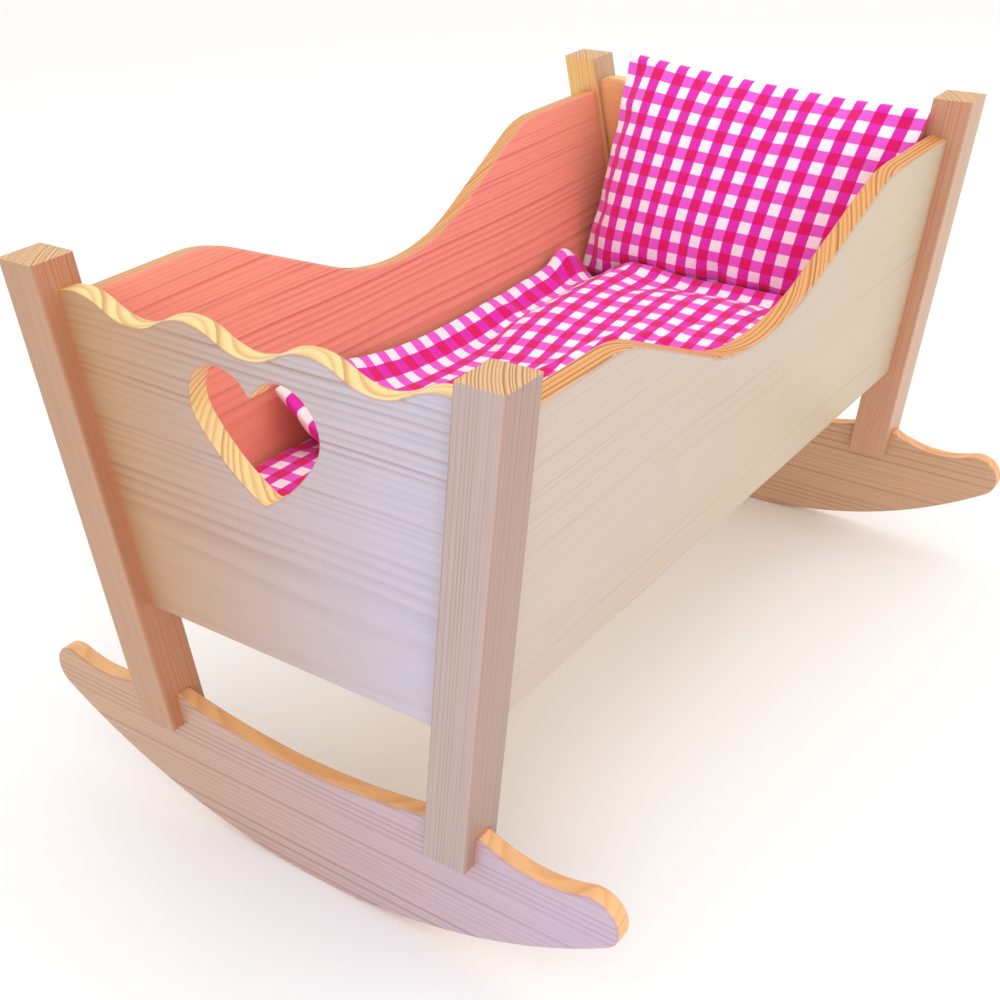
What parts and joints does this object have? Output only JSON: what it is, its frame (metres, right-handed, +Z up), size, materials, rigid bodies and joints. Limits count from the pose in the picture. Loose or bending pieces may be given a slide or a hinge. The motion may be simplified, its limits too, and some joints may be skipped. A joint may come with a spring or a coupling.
{
  "type": "doll's rocking cradle",
  "caption": "Pine doll's cradle on two curved rockers, with splayed posts, a scalloped foot board with a heart, dipped side boards and gingham bedding.",
  "frame": {"origin": "on the floor, midway between the two rockers, where their rolling edges touch it", "axes": "+Z up, +Y from the foot end to the head end, +X to the right of someone standing at the foot"},
  "size_m": [0.455, 0.604, 0.3969],
  "materials": {
    "posts": "sanded pine, clear matt lacquer, grain along the post",
    "rockers": "sanded pine, clear matt lacquer, grain along the rocker",
    "boards": "sanded pine, clear matt lacquer, grain along the board",
    "plywood": "birch plywood, unfinished",
    "cleats": "planed pine, unfinished",
    "dowels": "beech dowel, glued in",
    "screws": "zinc plated",
    "gingham": "woven cotton gingham, pink and crimson on white, 10 mm checks"
  },
  "bodies": {
    "frame": {"post_foot_right": "posts", "post_foot_left": "posts", "post_head_right": "posts", "post_head_left": "posts", "rocker_foot": "rockers", "rocker_head": "rockers", "foot_board": "boards", "head_board": "boards", "side_board_right": "boards", "side_board_left": "boards", "bottom_board": "plywood", "cleat_foot": "cleats", "cleat_head": "cleats", "cleat_right": "cleats", "cleat_left": "cleats", "foot_board_dowels": "dowels", "head_board_dowels": "dowels", "side_board_dowels_right": "dowels", "side_board_dowels_left": "dowels", "side_cleat_screws": "screws", "end_cleat_screws": "screws"},
    "mattress": {"mattress": "gingham"},
    "duvet": {"duvet": "gingham"},
    "pillow": {"pillow": "gingham"}
  },
  "joints": [
    {"name": "mattress_lift", "type": "slide", "parent": "frame", "child": "mattress", "axis": [0, 0, 1], "range_m": [0, 0.25]},
    {"name": "duvet_lift", "type": "slide", "parent": "mattress", "child": "duvet", "axis": [0, 0, 1], "range_m": [0, 0.25]},
    {"name": "pillow_lift", "type": "slide", "parent": "mattress", "child": "pillow", "axis": [0, 0, 1], "range_m": [0, 0.25]}
  ]
}
